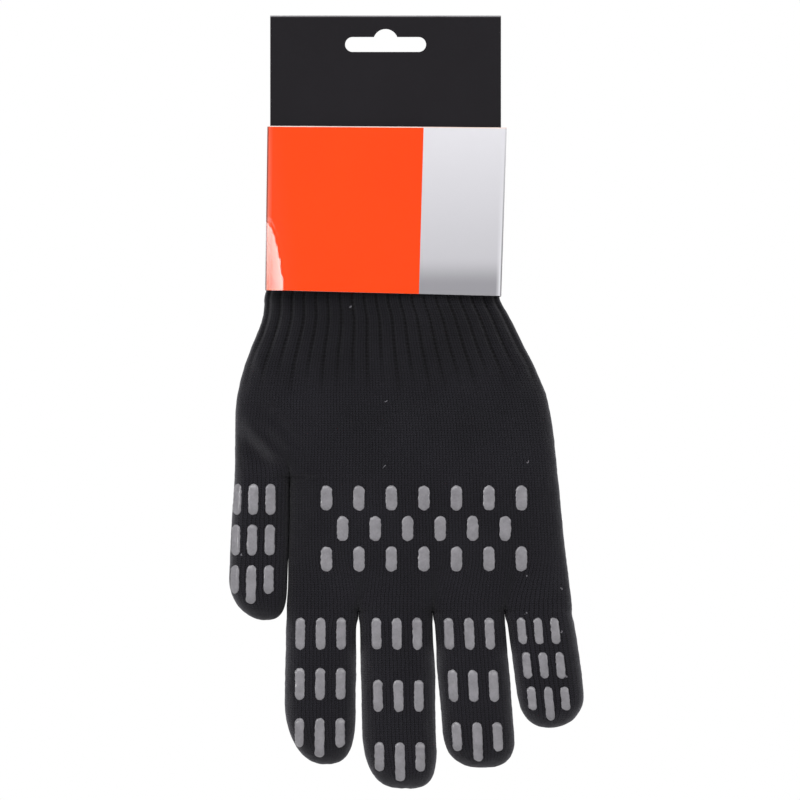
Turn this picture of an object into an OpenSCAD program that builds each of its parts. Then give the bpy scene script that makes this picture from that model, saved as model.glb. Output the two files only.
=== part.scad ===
// Knitted heat resistant glove for the barbecue, hung by its header card.
// Millimetres. The origin is the middle of the hang slot, Z points up and the gripping side of
// the glove faces -Y, so the fingers point down along -Z with the thumb at -X.

/* [Header card] */
// Thickness of the two glued plies of the card
card_t = 0.7; // [0.5:0.1:1.2]
// Height of the card above the middle of the hang slot
card_above_slot = 11.6; // [9:0.2:20]
// Free space between each side of the card and the start of the band's fold
card_side_gap = 0.2; // [0.1:0.1:3]
// How far the card reaches down inside the band
card_tuck = 58; // [30:1:64]
// Length of the hang slot
slot_w = 32.4; // [28:0.2:36]
// Height of the straight part of the hang slot
slot_h = 6; // [5:0.2:8]
// Radius of the hump above the middle of the slot
hump_r = 5; // [4:0.1:6]

/* [Belly band] */
// Height of the band
band_h = 67; // [66:1:90]
// Distance from the middle of the hang slot to the top edge of the band
slot_to_band = 32.6; // [24:0.2:50]
// Thickness of the band's board
band_t = 0.45; // [0.4:0.05:0.7]
// Outer radius of the four upright folds of the band
band_fold_r = 1.2; // [0.8:0.1:3]
// Width of the glued lap inside the back of the band
lap_w = 14; // [8:1:20]
// Free space between the cuff and the band, and between the cuff and the card
sleeve_gap = 0.4; // [0.35:0.05:1]

/* [Cuff] */
// Flat width of the ribbed cuff
cuff_w = 93.4; // [84:0.2:102]
// Thickness of the flattened cuff
cuff_t = 16; // [15:0.5:19]
// Distance from the top edge of the band down to the top of the hem
hem_below_band = 2; // [1:0.5:8]
// Height of the overlocked hem
hem_h = 2.6; // [2:0.2:4]
// Number of knitted ribs round the cuff
rib_count = 42; // [30:1:50]
// Depth of the grooves between the ribs
rib_depth = 0.8; // [0.4:0.1:0.9]
// Length of ribbing that shows below the band
rib_run = 34.4; // [26:0.2:44]
// Diameter of the elastic threads in the cuff
elastic_d = 0.8; // [0.6:0.1:1]
// Number of elastic threads in the cuff
elastic_count = 3; // [2:1:5]

/* [Hand] */
// Distance from the middle of the card to the outer side of the index finger
index_side = 39.8; // [36:0.2:44]
// Length from the end of the ribbing to the root of the thumb
heel_len = 39.4; // [34:0.2:48]
// Length from the root of the thumb to the roots of the fingers
knuckle_len = 53.6; // [48:0.2:62]
// Length over which the wrist widens into the hand, from the lower edge of the band
flare_len = 48; // [40:1:60]
// Slant of the outer side of the hand below the little finger, in degrees
side_slant = 6; // [3:0.5:8]
// How far the side of the hand draws in beside the thumb
thumb_room = 1.6; // [1.4:0.1:3]
// Greatest thickness of the hand
palm_t = 20; // [17:0.5:23]

/* [Digits] */
// Width of the thumb at its root
thumb_root_w = 22; // [20:0.2:25]
// Greatest width of the thumb
thumb_w = 22.8; // [20:0.2:26]
// Length of the thumb
thumb_len = 57.2; // [46:0.2:66]
// Sideways lean of the thumb, in degrees
thumb_lean = -1.4; // [-6:0.2:-1.4]
// Width of the index finger
index_w = 28.6; // [25:0.2:32]
// Length of the index finger
index_len = 61.6; // [52:0.2:74]
// Sideways lean of the index finger, in degrees
index_lean = -0.6; // [-3:0.2:0]
// Width of the middle finger
middle_w = 29.4; // [25:0.2:32]
// Length of the middle finger
middle_len = 71.2; // [60:0.2:84]
// Sideways lean of the middle finger, in degrees
middle_lean = 1.4; // [0:0.2:2]
// Width of the ring finger
ring_w = 28.4; // [25:0.2:32]
// Length of the ring finger
ring_len = 63.2; // [52:0.2:74]
// Sideways lean of the ring finger, in degrees
ring_lean = 4.4; // [3:0.2:5]
// Width of the little finger
little_w = 26.4; // [23:0.2:30]
// Length of the little finger
little_len = 46.8; // [38:0.2:58]
// Sideways lean of the little finger, in degrees
little_lean = 8.4; // [6:0.2:12]
// Thickness of the index, middle and ring fingers
finger_t = 14.6; // [14:0.2:17]
// Thickness of the thumb and the little finger
slim_t = 14; // [13.6:0.2:16]
// Free space between neighbouring digits at their roots
crotch_gap = 0.5; // [0.4:0.1:1]
// Free space between the root of a digit and the hand
root_gap = 0.4; // [0.35:0.05:0.8]

/* [Layers] */
// Thickness of the outer knit
shell_t = 1.4; // [1:0.1:1.8]
// Thickness of the cotton lining
lining_t = 1.1; // [0.8:0.1:1.4]
// Free space between the outer knit and the lining
layer_gap = 0.25; // [0.2:0.05:0.4]

/* [Grip print] */
// Height of the silicone bars above the knit
bar_h = 0.9; // [0.5:0.1:1.4]
// Width of the bars on the index, middle and ring fingers
bar_w = 4; // [3:0.1:4.6]
// Length of the bars on the index, middle and ring fingers
bar_len = 12.8; // [9:0.2:14]
// Spacing of the three columns of bars on these fingers
bar_pitch = 8.1; // [6:0.1:8.4]
// Width of the bars on the little finger
slim_bar_w = 3.5; // [2.6:0.1:3.8]
// Length of the bars on the little finger
slim_bar_len = 10.6; // [8:0.2:11]
// Spacing of the columns on the little finger
slim_bar_pitch = 6.6; // [5:0.1:6.8]
// Width of the bars on the thumb
thumb_bar_w = 4.1; // [3:0.1:4.4]
// Length of the bars on the thumb
thumb_bar_len = 12.4; // [9:0.2:12.6]
// Spacing of the columns on the thumb, measured round it
thumb_bar_pitch = 6.9; // [6:0.1:7.3]
// Distance from the longest bar on the thumb to its tip
thumb_bar_end = 7.2; // [5:0.2:8]
// How much longer the middle bar at each tip is than the other bars
tip_bar_extra = 3; // [1:0.2:5]
// Distance from the root of a digit to the start of its first row of bars
bar_start = 2; // [1.6:0.1:4]
// Distance from the longest bar to the tip of the digit
bar_end = 3.6; // [2.4:0.1:6]
// Number of bars in the first and last rows of the palm print
palm_columns = 7; // [5:1:8]
// Spacing of the palm bars along a row
palm_pitch = 13; // [9:0.1:14]
// Spacing of the three rows of the palm print
palm_row_pitch = 12.2; // [11:0.1:13]
// Width of the palm bars
palm_bar_w = 4.6; // [3:0.1:5]
// Length of the palm bars
palm_bar_len = 10; // [7:0.1:10.4]
// Distance from the root of the thumb to the first row of palm bars
palm_print_drop = 3; // [1:0.5:6]

/* [Hidden] */
KNIT = [0.14, 0.135, 0.15];
COTTON = [0.32, 0.32, 0.34];
SILICONE = [0.54, 0.53, 0.56];
CARD = [0.16, 0.15, 0.165];
BAND = [0.99, 0.31, 0.09];
THREAD = [0.22, 0.215, 0.23];
THUMB = 0;
INDEX = 1;
MIDDLE = 2;
RING = 3;
LITTLE = 4;
digit_root_w = [thumb_root_w, index_w, middle_w, ring_w, little_w];
digit_w = [thumb_w, index_w, middle_w, ring_w, little_w];
digit_len = [thumb_len, index_len, middle_len, ring_len, little_len];
digit_lean = [thumb_lean, index_lean, middle_lean, ring_lean, little_lean];
digit_t = [slim_t, finger_t, finger_t, finger_t, slim_t];
// Sideways drift of each tip towards the middle of the hand
tip_drift = [3, 2.8, 2.4, 0.9, -2.4];
// Sideways offset of the printed columns, which sit a little off the middle of a digit
bar_drift = [-0.136 * thumb_w, -0.4, 0.3, -0.5, -1.1];
digit_bar_w = [thumb_bar_w, bar_w, bar_w, bar_w, slim_bar_w];
digit_bar_len = [thumb_bar_len, bar_len, bar_len, bar_len, slim_bar_len];
digit_bar_pitch = [thumb_bar_pitch, bar_pitch, bar_pitch, bar_pitch, slim_bar_pitch];
digit_bar_end = [thumb_bar_end, bar_end, bar_end, bar_end, bar_end];
// Share of a digit's lean that its bars take
bar_lean = 0.65;
// Levels of the hand from the hang slot down
z_band_top = -slot_to_band;
z_band_low = z_band_top - band_h;
z_hem = z_band_top - hem_below_band;
z_cuff = z_hem - hem_h;
z_rib_end = z_band_low - rib_run;
z_thumb = z_rib_end - heel_len;
z_root = z_thumb - knuckle_len;
digit_z = [z_thumb, z_root, z_root, z_root, z_root];
// The card lies in front of the cuff, both inside the band
mid_y = card_t / 2 + sleeve_gap + cuff_t / 2;
band_front_y = -card_t / 2 - sleeve_gap / 2 - band_t;
band_back_y = mid_y + cuff_t / 2 + sleeve_gap + band_t + band_t;
band_w = cuff_w + 2 * (sleeve_gap + band_t);
card_w = band_w - 2 * (band_fold_r + card_side_gap);
// Sideways places of the digit roots, from the thumb to the little finger
index_x = -index_side + index_w / 2;
middle_x = index_x + (index_w + middle_w) / 2 + crotch_gap;
ring_x = middle_x + (middle_w + ring_w) / 2 + crotch_gap;
little_x = ring_x + (ring_w + little_w) / 2 + crotch_gap;
thumb_x = -index_side + thumb_room - crotch_gap - thumb_root_w / 2;
digit_x = [thumb_x, index_x, middle_x, ring_x, little_x];
hand_low_right = little_x + little_w / 2;
hand_low_left = thumb_x - thumb_root_w / 2;
// The elastic threads need room between the cuff's layers
cuff_layer_gap = elastic_d + 2 * layer_gap;
root_t = finger_t + 0.2;
cuff_n = 3;
palm_n = 3.6;
digit_n = 2.5;
digit_steps = 20;
palm_steps = 40;
rib_steps = 3 * rib_count;
$fn = 64;

function mix(a, b, t) = a + (b - a) * t;
function clamp01(t) = min(max(t, 0), 1);
function smooth(t) = t * t * (3 - 2 * t);

// Point of a rounded oval section at angle t, with half sizes a and b and squareness n
function oval_at(a, b, n, t) =
    [a * sign(cos(t)) * pow(abs(cos(t)), 2 / n), b * sign(sin(t)) * pow(abs(sin(t)), 2 / n)];

// Angles that share the outline of an oval into equal steps
function oval_table(a, b, n) =
    [for (i = 0, s = 0; i <= 180; i = i + 1,
          s = s + norm(oval_at(a, b, n, 2 * i) - oval_at(a, b, n, 2 * i - 2))) [s, 2 * i]];
function oval_angles(a, b, n, steps) =
    let (table = oval_table(a, b, n), whole = table[180][0])
    [for (i = [0:steps - 1]) lookup(whole * i / steps, table)];

function ring(x, y, z, a, b, n, angles) =
    [for (t = angles) let (p = oval_at(a, b, n, t)) [x + p[0], y + p[1], z]];

function flat_list(lists) = [for (part = lists) for (item = part) item];

// Solid through a row of rings that each have the same number of points
module loft(rings, looped) {
    n = len(rings[0]);
    m = len(rings);
    spans = looped ? m : m - 1;
    sides = [for (i = [0:spans - 1]) for (j = [0:n - 1])
        let (k = (i + 1) % m, l = (j + 1) % n, a = i * n + j, b = k * n + j, c = k * n + l, d = i * n + l)
        each [[a, b, c], [a, c, d]]];
    caps = looped ? [] : [[for (j = [0:n - 1]) j], [for (j = [0:n - 1]) m * n - 1 - j]];
    polyhedron(points = flat_list(rings), faces = concat(sides, caps), convexity = 10);
}

// Sides and thickness of the hand at height z
function flare(z) = 1 - pow(1 - clamp01((z_band_low - z) / flare_len), 1.35);
function slant_right(z) = hand_low_right - (z - z_root) * tan(side_slant);
function hand_right(z) = mix(cuff_w / 2, slant_right(z), flare(z));
function hand_left(z) = mix(-cuff_w / 2, hand_low_left, flare(z));
function hand_t(z) = mix(cuff_t, palm_t, smooth(clamp01((z_band_low - z) / (z_band_low - z_thumb))));
knuckle_levels = [z_root, mix(z_root, z_thumb, 0.3), z_thumb - root_gap / 4];
// Between its levels the hand runs straight, so that what is printed on the knit can follow it
function knuckle_t(z) = mix(root_t, palm_t, clamp01((z - z_root) / knuckle_len));
function knuckle_left(z) = -index_side + lookup(z, [[z_root, 0], [knuckle_levels[1], thumb_room]]);

// Ring of the hand at height z, set in from the outer face, from the thumb side or from the index side
function hand_ring(z, inset, n, angles) =
    ring((hand_left(z) + hand_right(z)) / 2, mid_y, z,
        (hand_right(z) - hand_left(z)) / 2 - inset, hand_t(z) / 2 - inset, n, angles);
function knuckle_ring(z, inset, angles) =
    ring((slant_right(z) + knuckle_left(z)) / 2, mid_y, z,
        (slant_right(z) - knuckle_left(z)) / 2 - inset, knuckle_t(z) / 2 - inset, palm_n, angles);
function backwards(list) = [for (i = [len(list) - 1:-1:0]) list[i]];

// Levels of the ribbed cuff and of the heel of the hand
cuff_levels = [z_rib_end, mix(z_rib_end, z_band_low, 0.55), z_band_low, z_cuff];
lining_levels = [z_rib_end, z_band_low, z_cuff];
heel_levels = [z_thumb, mix(z_thumb, z_rib_end, 0.6), z_rib_end];
cuff_angles = oval_angles(cuff_w / 2, cuff_t / 2, cuff_n, rib_steps);
lining_angles = oval_angles(cuff_w / 2, cuff_t / 2, cuff_n, palm_steps);
heel_angles = oval_angles(62, palm_t / 2, palm_n, palm_steps);
knuckle_angles = oval_angles(56, palm_t / 2, palm_n, palm_steps);
digit_angles = oval_angles(14, 7, digit_n, digit_steps);

// Fade of the rib grooves towards the plain knit of the hand
function groove(z) = rib_depth * clamp01((z - z_rib_end) / 6);
function rib_ring(z) =
    [for (i = [0:rib_steps - 1]) let (t = cuff_angles[i], g = i % 3 == 0 ? groove(z) : 0,
        a = (hand_right(z) - hand_left(z)) / 2 - g, b = hand_t(z) / 2 - g, p = oval_at(a, b, cuff_n, t))
        [(hand_left(z) + hand_right(z)) / 2 + p[0], mid_y + p[1], z]];

module tube(outer, inner) {
    loft(concat(outer, backwards(inner)), true);
}

// Half sizes and middle of a digit at distance s from its root
function tip_start(d) = digit_len[d] - digit_w[d] / 2;
function tip_scale(d, s, inset) =
    let (t = clamp01((s - tip_start(d)) / (digit_w[d] / 2 - inset))) sqrt(1 - t * t);
// A digit with a narrower root has its full width from here on
function swell_end(d) = 0.45 * tip_start(d);
function digit_half_w(d, s) = mix(digit_root_w[d], digit_w[d], clamp01(s / swell_end(d))) / 2;
function digit_mid(d, s) =
    digit_x[d] + s * tan(digit_lean[d])
    + tip_drift[d] * pow(clamp01((s - tip_start(d)) / (digit_w[d] / 2)), 2);
function digit_ring(d, s, inset) =
    let (k = tip_scale(d, s, inset))
    ring(digit_mid(d, s), mid_y, digit_z[d] - root_gap - s,
        (digit_half_w(d, s) - inset) * k, (digit_t[d] / 2 - inset) * k, digit_n, digit_angles);
// Distances of the rings from the root, closing round the tip in the given angles
function digit_stations(d, inset, angles) =
    concat(digit_root_w[d] == digit_w[d] ? [0, tip_start(d)] : [0, swell_end(d), tip_start(d)],
        [for (f = angles) tip_start(d) + (digit_w[d] / 2 - inset) * sin(f)]);
function digit_side(d, inset, angles) =
    [for (s = digit_stations(d, inset, angles)) digit_ring(d, s, inset)];

module digit_layer(d, outer, inner, angles) {
    loft(concat(backwards(digit_side(d, outer, angles)), digit_side(d, inner, angles)), false);
}

// Front face of the knuckles at a sideways place x
function front_of(mid, a, b, n, x) = mid_y - b * pow(1 - pow(min(abs((x - mid) / a), 0.98), n), 1 / n);
function knuckle_front(x, z) =
    let (right = slant_right(z), left = knuckle_left(z))
    front_of((right + left) / 2, (right - left) / 2, knuckle_t(z) / 2, palm_n, x);

// Free height under a bar, which covers the flats between the rings of the knit
bar_seat = 0.16;
// Places along a bar from -1 to 1 with round ends, and more of them where the tip of a digit curves
function bar_places(w, l, bent) =
    let (end = 1 - 0.3 * w / l, shoulder = 1 - w / l)
    concat([-1, -end, -shoulder], bent ? [-0.35, 0, 0.35] : [], [shoulder, end, 1]);
function bar_half_w(u, w, l) =
    let (over = max(abs(u) * l / 2 - (l - w) / 2, 0)) max(sqrt(max(w * w / 4 - over * over, 0)), w * 0.2);
function bar_rise(u, w, l) = abs(u) == 1 ? 0.4 * bar_h : abs(u) > 1 - w / l ? 0.85 * bar_h : bar_h;

// Distance round the section of a digit from the middle of its front, and the angle that belongs to it
function front_at(d, t) = oval_at(digit_w[d] / 2, digit_t[d] / 2, digit_n, 270 + t);
digit_arcs = [for (d = [THUMB:LITTLE])
    [for (i = 0, s = 0; i <= 45; i = i + 1, s = s + norm(front_at(d, 2 * i) - front_at(d, 2 * i - 2)))
        [s, 2 * i]]];
// Place at a distance c round the front of a digit, lifted off the knit along its normal
function digit_place(d, s, c, lift) =
    let (k = tip_scale(d, s, 0), a = digit_half_w(d, s) * k, b = digit_t[d] / 2 * k,
        p = oval_at(a, b, digit_n, 270 + lookup(abs(c) / k, digit_arcs[d])),
        out = [pow(abs(p[0]) / a, digit_n - 1) / a, -pow(abs(p[1]) / b, digit_n - 1) / b],
        q = p + out * lift / norm(out))
    [digit_mid(d, s) + sign(c) * q[0], mid_y + q[1], digit_z[d] - root_gap - s];
// Section of a domed bar that wraps round a digit: its seat, two shoulders and the crown
function wrapped_ring(d, s, c, h, rise) =
    [for (spot = [[1, 0], [0, 0], [-1, 0], [-0.8, 0.75], [0, 1], [0.8, 0.75]])
        digit_place(d, s, c + spot[0] * h, bar_seat + spot[1] * rise)];
// The same section on the palm, which is nearly flat there
function bar_ring(x, z, h, rise, y) =
    [[x + h, y[2] - bar_seat, z], [x, y[1] - bar_seat, z], [x - h, y[0] - bar_seat, z],
     [x - 0.8 * h, mix(y[1], y[0], 0.64) - bar_seat - 0.75 * rise, z], [x, y[1] - bar_seat - rise, z],
     [x + 0.8 * h, mix(y[1], y[2], 0.64) - bar_seat - 0.75 * rise, z]];

// The printed columns run straight, so they move off the middle line where the tip drifts
module digit_bar(d, column, s_mid, w, l, bent) {
    loft([for (u = backwards(bar_places(w, l, bent))) let (
        s = s_mid + u * l / 2,
        c = column + digit_x[d] + mix(s_mid, s, bar_lean) * tan(digit_lean[d]) - digit_mid(d, s))
        wrapped_ring(d, s, c, bar_half_w(u, w, l), bar_rise(u, w, l))], false);
}

// Three rows of three bars, the middle one of the last row longer than its neighbours
module digit_bars(d) {
    l = digit_bar_len[d];
    first = bar_start + l / 2;
    last = digit_len[d] - digit_bar_end[d] - tip_bar_extra - l / 2;
    for (column = [-1:1]) {
        place = column * digit_bar_pitch[d] + bar_drift[d];
        digit_bar(d, place, first, digit_bar_w[d], l, false);
        digit_bar(d, place, (first + last) / 2, digit_bar_w[d], l, false);
        longer = column == 0 ? tip_bar_extra : -1;
        digit_bar(d, place, last + longer / 2, digit_bar_w[d], l + longer, true);
    }
}

module palm_bar(x, z_mid) {
    w = palm_bar_w;
    l = palm_bar_len;
    loft([for (u = bar_places(w, l, false)) let (
        z = z_mid + u * l / 2,
        h = bar_half_w(u, w, l))
        bar_ring(x, z, h, bar_rise(u, w, l), [for (k = [-1:1]) knuckle_front(x + k * h, z)])], false);
}

// Outline of a sleeve section with four rounded folds
module folded_outline(w, y0, y1, r) {
    translate([-w / 2 + r, y0]) square([w - 2 * r, y1 - y0]);
    translate([-w / 2, y0 + r]) square([w, y1 - y0 - 2 * r]);
    for (x = [-w / 2 + r, w / 2 - r], y = [y0 + r, y1 - r]) translate([x, y]) circle(r);
}

module slot_outline() {
    translate([-slot_w / 2 + slot_h / 2, -slot_h / 2]) square([slot_w - slot_h, slot_h]);
    for (x = [-1, 1]) translate([x * (slot_w - slot_h) / 2, 0]) circle(slot_h / 2);
    intersection() {
        translate([0, slot_h / 2 - 0.36 * hump_r]) circle(hump_r);
        translate([-hump_r, -slot_h / 2]) square([2 * hump_r, slot_h + hump_r]);
    }
}

// Card with a rounded fold along its top edge and the hang slot through both plies
module header_card() {
    low = z_band_top - card_tuck;
    color(CARD) difference() {
        union() {
            translate([-card_w / 2, -card_t / 2, low])
                cube([card_w, card_t, card_above_slot - card_t / 2 - low]);
            translate([-card_w / 2, 0, card_above_slot - card_t / 2])
                rotate([0, 90, 0]) cylinder(h = card_w, r = card_t / 2);
        }
        translate([0, card_t, 0]) rotate([90, 0, 0]) linear_extrude(height = 2 * card_t) slot_outline();
    }
}

// Board band closed round the card and the cuff, glued along an inner lap at the back
module belly_band() {
    color(BAND) translate([0, 0, z_band_low]) linear_extrude(height = band_h) {
        difference() {
            folded_outline(band_w, band_front_y, band_back_y, band_fold_r);
            folded_outline(band_w - 2 * band_t, band_front_y + band_t, band_back_y - band_t,
                band_fold_r - band_t);
        }
        translate([0.15 * band_w, band_back_y - 2 * band_t]) square([lap_w, 1.5 * band_t]);
    }
}

module cuff_rib() {
    inner = [for (z = cuff_levels) hand_ring(z, rib_depth + shell_t, cuff_n, cuff_angles)];
    color(KNIT) tube([for (z = cuff_levels) rib_ring(z)], inner);
}

cuff_lining_inset = rib_depth + shell_t + cuff_layer_gap;

module cuff_lining() {
    color(COTTON) tube(
        [for (z = lining_levels) hand_ring(z, cuff_lining_inset, cuff_n, lining_angles)],
        [for (z = lining_levels) hand_ring(z, cuff_lining_inset + lining_t, cuff_n, lining_angles)]);
}

// Overlocked edge over both layers of the cuff
hem_round = 0.9;
module cuff_hem() {
    far = cuff_lining_inset + lining_t;
    color(THREAD) tube(
        [hand_ring(z_cuff, 0.2, cuff_n, lining_angles),
            hand_ring(z_hem - hem_round, 0.1, cuff_n, lining_angles),
            hand_ring(z_hem, hem_round, cuff_n, lining_angles)],
        [hand_ring(z_cuff, far, cuff_n, lining_angles),
            hand_ring(z_hem, far - hem_round, cuff_n, lining_angles)]);
}

// Elastic threads that lie round the wrist between the knit and the lining
module cuff_elastic() {
    out = rib_depth + shell_t + layer_gap;
    for (i = [1:elastic_count]) {
        z = mix(z_cuff, z_band_low, (i - 0.5) / elastic_count);
        color(THREAD) tube(
            [hand_ring(z - elastic_d / 2, out, cuff_n, lining_angles),
                hand_ring(z + elastic_d / 2, out, cuff_n, lining_angles)],
            [hand_ring(z, out + elastic_d, cuff_n, lining_angles)]);
    }
}

module palm_heel_shell() {
    color(KNIT) tube(
        [for (z = heel_levels) hand_ring(z, 0, palm_n, heel_angles)],
        [for (z = heel_levels) hand_ring(z, shell_t, palm_n, heel_angles)]);
}

module palm_heel_lining() {
    far = shell_t + layer_gap;
    color(COTTON) tube(
        [for (z = [z_thumb, z_rib_end]) hand_ring(z, far, palm_n, heel_angles)],
        [for (z = [z_thumb, z_rib_end]) hand_ring(z, far + lining_t, palm_n, heel_angles)]);
}

module knuckle_shell() {
    color(KNIT) tube(
        [for (z = knuckle_levels) knuckle_ring(z, 0, knuckle_angles)],
        [for (z = knuckle_levels) knuckle_ring(z, shell_t, knuckle_angles)]);
}

module knuckle_lining() {
    far = shell_t + layer_gap;
    color(COTTON) tube(
        [for (z = knuckle_levels) knuckle_ring(z, far, knuckle_angles)],
        [for (z = knuckle_levels) knuckle_ring(z, far + lining_t, knuckle_angles)]);
}

// Staggered rows of bars across the palm
module palm_grip_bars() {
    middle = (slant_right(z_thumb) + knuckle_left(z_thumb)) / 2;
    color(SILICONE) for (row = [0:2]) {
        count = row == 1 ? palm_columns - 1 : palm_columns;
        z = z_thumb - palm_print_drop - palm_bar_len / 2 - row * palm_row_pitch;
        for (i = [0:count - 1]) palm_bar(middle + (i - (count - 1) / 2) * palm_pitch, z);
    }
}

module digit_stall(d) {
    color(KNIT) digit_layer(d, 0, shell_t, [24, 44, 62, 78]);
}

module digit_lining(d) {
    far = shell_t + layer_gap;
    color(COTTON) digit_layer(d, far, far + lining_t, [30, 56, 76]);
}

module digit_grips(d) {
    color(SILICONE) digit_bars(d);
}

module thumb_stall() {
    digit_stall(THUMB);
}
module thumb_lining() {
    digit_lining(THUMB);
}
module thumb_grip_bars() {
    digit_grips(THUMB);
}
module index_stall() {
    digit_stall(INDEX);
}
module index_lining() {
    digit_lining(INDEX);
}
module index_grip_bars() {
    digit_grips(INDEX);
}
module middle_stall() {
    digit_stall(MIDDLE);
}
module middle_lining() {
    digit_lining(MIDDLE);
}
module middle_grip_bars() {
    digit_grips(MIDDLE);
}
module ring_stall() {
    digit_stall(RING);
}
module ring_lining() {
    digit_lining(RING);
}
module ring_grip_bars() {
    digit_grips(RING);
}
module little_stall() {
    digit_stall(LITTLE);
}
module little_lining() {
    digit_lining(LITTLE);
}
module little_grip_bars() {
    digit_grips(LITTLE);
}

header_card();
belly_band();
cuff_rib();
cuff_lining();
cuff_hem();
cuff_elastic();
palm_heel_shell();
palm_heel_lining();
knuckle_shell();
knuckle_lining();
palm_grip_bars();
thumb_stall();
thumb_lining();
thumb_grip_bars();
index_stall();
index_lining();
index_grip_bars();
middle_stall();
middle_lining();
middle_grip_bars();
ring_stall();
ring_lining();
ring_grip_bars();
little_stall();
little_lining();
little_grip_bars();
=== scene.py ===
# %% [markdown]
# # A knitted barbecue glove on its header card
# The object is a black knitted glove with raised silicone grip bars. Its ribbed cuff sits in a glossy
# board band, and a black card with a hang slot carries the whole. The CAD model gives every piece its
# place, so this lesson loads it first and builds the looks around it, in the same frame and in metres.

# %% The frame
import math
import bmesh
import bpy
import numpy as np
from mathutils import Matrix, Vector, noise
from mathutils.bvhtree import BVHTree
from mathutils.kdtree import KDTree


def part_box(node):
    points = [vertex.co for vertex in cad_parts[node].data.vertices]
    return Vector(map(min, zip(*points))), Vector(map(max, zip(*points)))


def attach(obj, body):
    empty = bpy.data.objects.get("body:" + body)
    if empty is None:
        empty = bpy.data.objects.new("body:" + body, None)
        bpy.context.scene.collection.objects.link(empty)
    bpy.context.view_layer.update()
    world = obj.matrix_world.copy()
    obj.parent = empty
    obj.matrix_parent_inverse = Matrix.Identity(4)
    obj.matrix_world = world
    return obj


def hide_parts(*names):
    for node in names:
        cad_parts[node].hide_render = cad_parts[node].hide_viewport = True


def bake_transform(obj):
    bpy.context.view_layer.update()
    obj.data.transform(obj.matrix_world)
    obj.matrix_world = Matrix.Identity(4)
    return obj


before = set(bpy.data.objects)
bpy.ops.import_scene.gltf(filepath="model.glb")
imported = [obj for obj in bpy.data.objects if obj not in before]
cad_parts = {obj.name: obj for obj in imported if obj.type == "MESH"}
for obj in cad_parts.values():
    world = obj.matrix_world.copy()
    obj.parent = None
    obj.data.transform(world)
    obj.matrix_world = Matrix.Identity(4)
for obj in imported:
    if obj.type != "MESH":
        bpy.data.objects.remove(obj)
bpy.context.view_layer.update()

scene = bpy.context.scene
scene.view_settings.view_transform = "Standard"
MM = 0.001


def measured(name):
    """Lowest and highest corner of a CAD node, in millimetres"""
    low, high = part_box(name)
    return np.array(low) / MM, np.array(high) / MM


# %% [markdown]
# ## Camera
# The photograph is a level front view. The camera stands far off with a long lens, which keeps the sides of
# the card and the band nearly parallel. A short lens close by would spread the fingers.

# %% Camera
LENS = 180  # focal length in millimetres
CAMERA_Y = -1.6  # in metres, the glove hangs at 0
PICTURE_X, PICTURE_Z = 5.76, -142.2  # middle of the picture in millimetres
camera_data = bpy.data.cameras.new("camera")
camera_data.lens = LENS
camera_data.sensor_width = 36
camera = bpy.data.objects.new("camera", camera_data)
scene.collection.objects.link(camera)
camera.location = (PICTURE_X * MM, CAMERA_Y, PICTURE_Z * MM)
camera.rotation_euler = (math.radians(90), 0, 0)
scene.camera = camera
print("camera:", LENS, "mm lens,", -CAMERA_Y, "m in front")

# %% [markdown]
# ## Node helpers
# Every look below is a small network of nodes. These helpers add a node, do a sum or grade a value in one
# line each, so that a material reads like a recipe. Where a helper gets a socket it makes a link, and where
# it gets a number it fills the number in. A socket knows its tree, so few helpers have to be told it.


# %% Node helpers
def fill(slot, value):
    """Give an input a link from a socket, or a plain value"""
    if isinstance(value, bpy.types.NodeSocket):
        slot.id_data.links.new(value, slot)
    elif value is not None:
        slot.default_value = value


def node(tree, kind, *values, **settings):
    """Add a node: values fill its inputs in order, settings fill inputs by name or set properties"""
    made = tree.nodes.new(kind)
    for name, value in settings.items():
        slot = made.inputs.get(name.replace("_", " ").title())
        if slot is None:
            setattr(made, name, value)
        else:
            fill(slot, value)
    for slot, value in zip(made.inputs, values):
        fill(slot, value)
    return made


def calc(operation, *values):
    """Math node from sockets and plain numbers, in the tree of the first socket"""
    tree = next(value for value in values if isinstance(value, bpy.types.NodeSocket)).id_data
    return node(tree, "ShaderNodeMath", *values, operation=operation).outputs[0]


def product(first, second):
    return calc("MULTIPLY", first, second)


def scaled(value, factor, shift):
    return calc("MULTIPLY_ADD", value, factor, shift)


def graded(value, low, high, start=0.0, end=1.0, kind="SMOOTHSTEP"):
    """Goes from start to end while the value goes from low to high"""
    steps = (value, low, high, start, end)
    return node(value.id_data, "ShaderNodeMapRange", *steps, interpolation_type=kind).outputs[0]


def axes_of(vector):
    return node(vector.id_data, "ShaderNodeSeparateXYZ", vector).outputs


def object_place(tree):
    return tree.nodes.new("ShaderNodeTexCoord").outputs["Object"]


print("node helpers ready")

# %% [markdown]
# ## Ground and light
# The photograph has a white ground. It can come from very bright lamps, but then the object bleaches too.
# Here the world and the floor look white to the camera alone, and the lamps stay at a level at which a
# colour renders about as it is written. The floor still darkens where the glove shades it, and it lies low
# enough for the glove to be pulled out of its band. Three large lamps light the glove softly. A fourth,
# small one stands at the left, where the pushed-in corner of the glossy band mirrors it as a streak.

# %% World
WHITE = (1, 1, 1, 1)
WORLD_LIGHT = 0.36  # strength of the world for all but direct sight


def seen_directly(tree):
    """1 for rays from the camera and for mirrored or refracted ones, 0 for light that falls on things"""
    path = node(tree, "ShaderNodeLightPath").outputs
    seen = calc("MAXIMUM", path["Is Camera Ray"], path["Is Glossy Ray"])
    return calc("MAXIMUM", seen, path["Is Transmission Ray"])


def mixed_shaders(share, first, second):
    return node(share.id_data, "ShaderNodeMixShader", share, first.outputs[0], second.outputs[0]).outputs[0]


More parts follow.
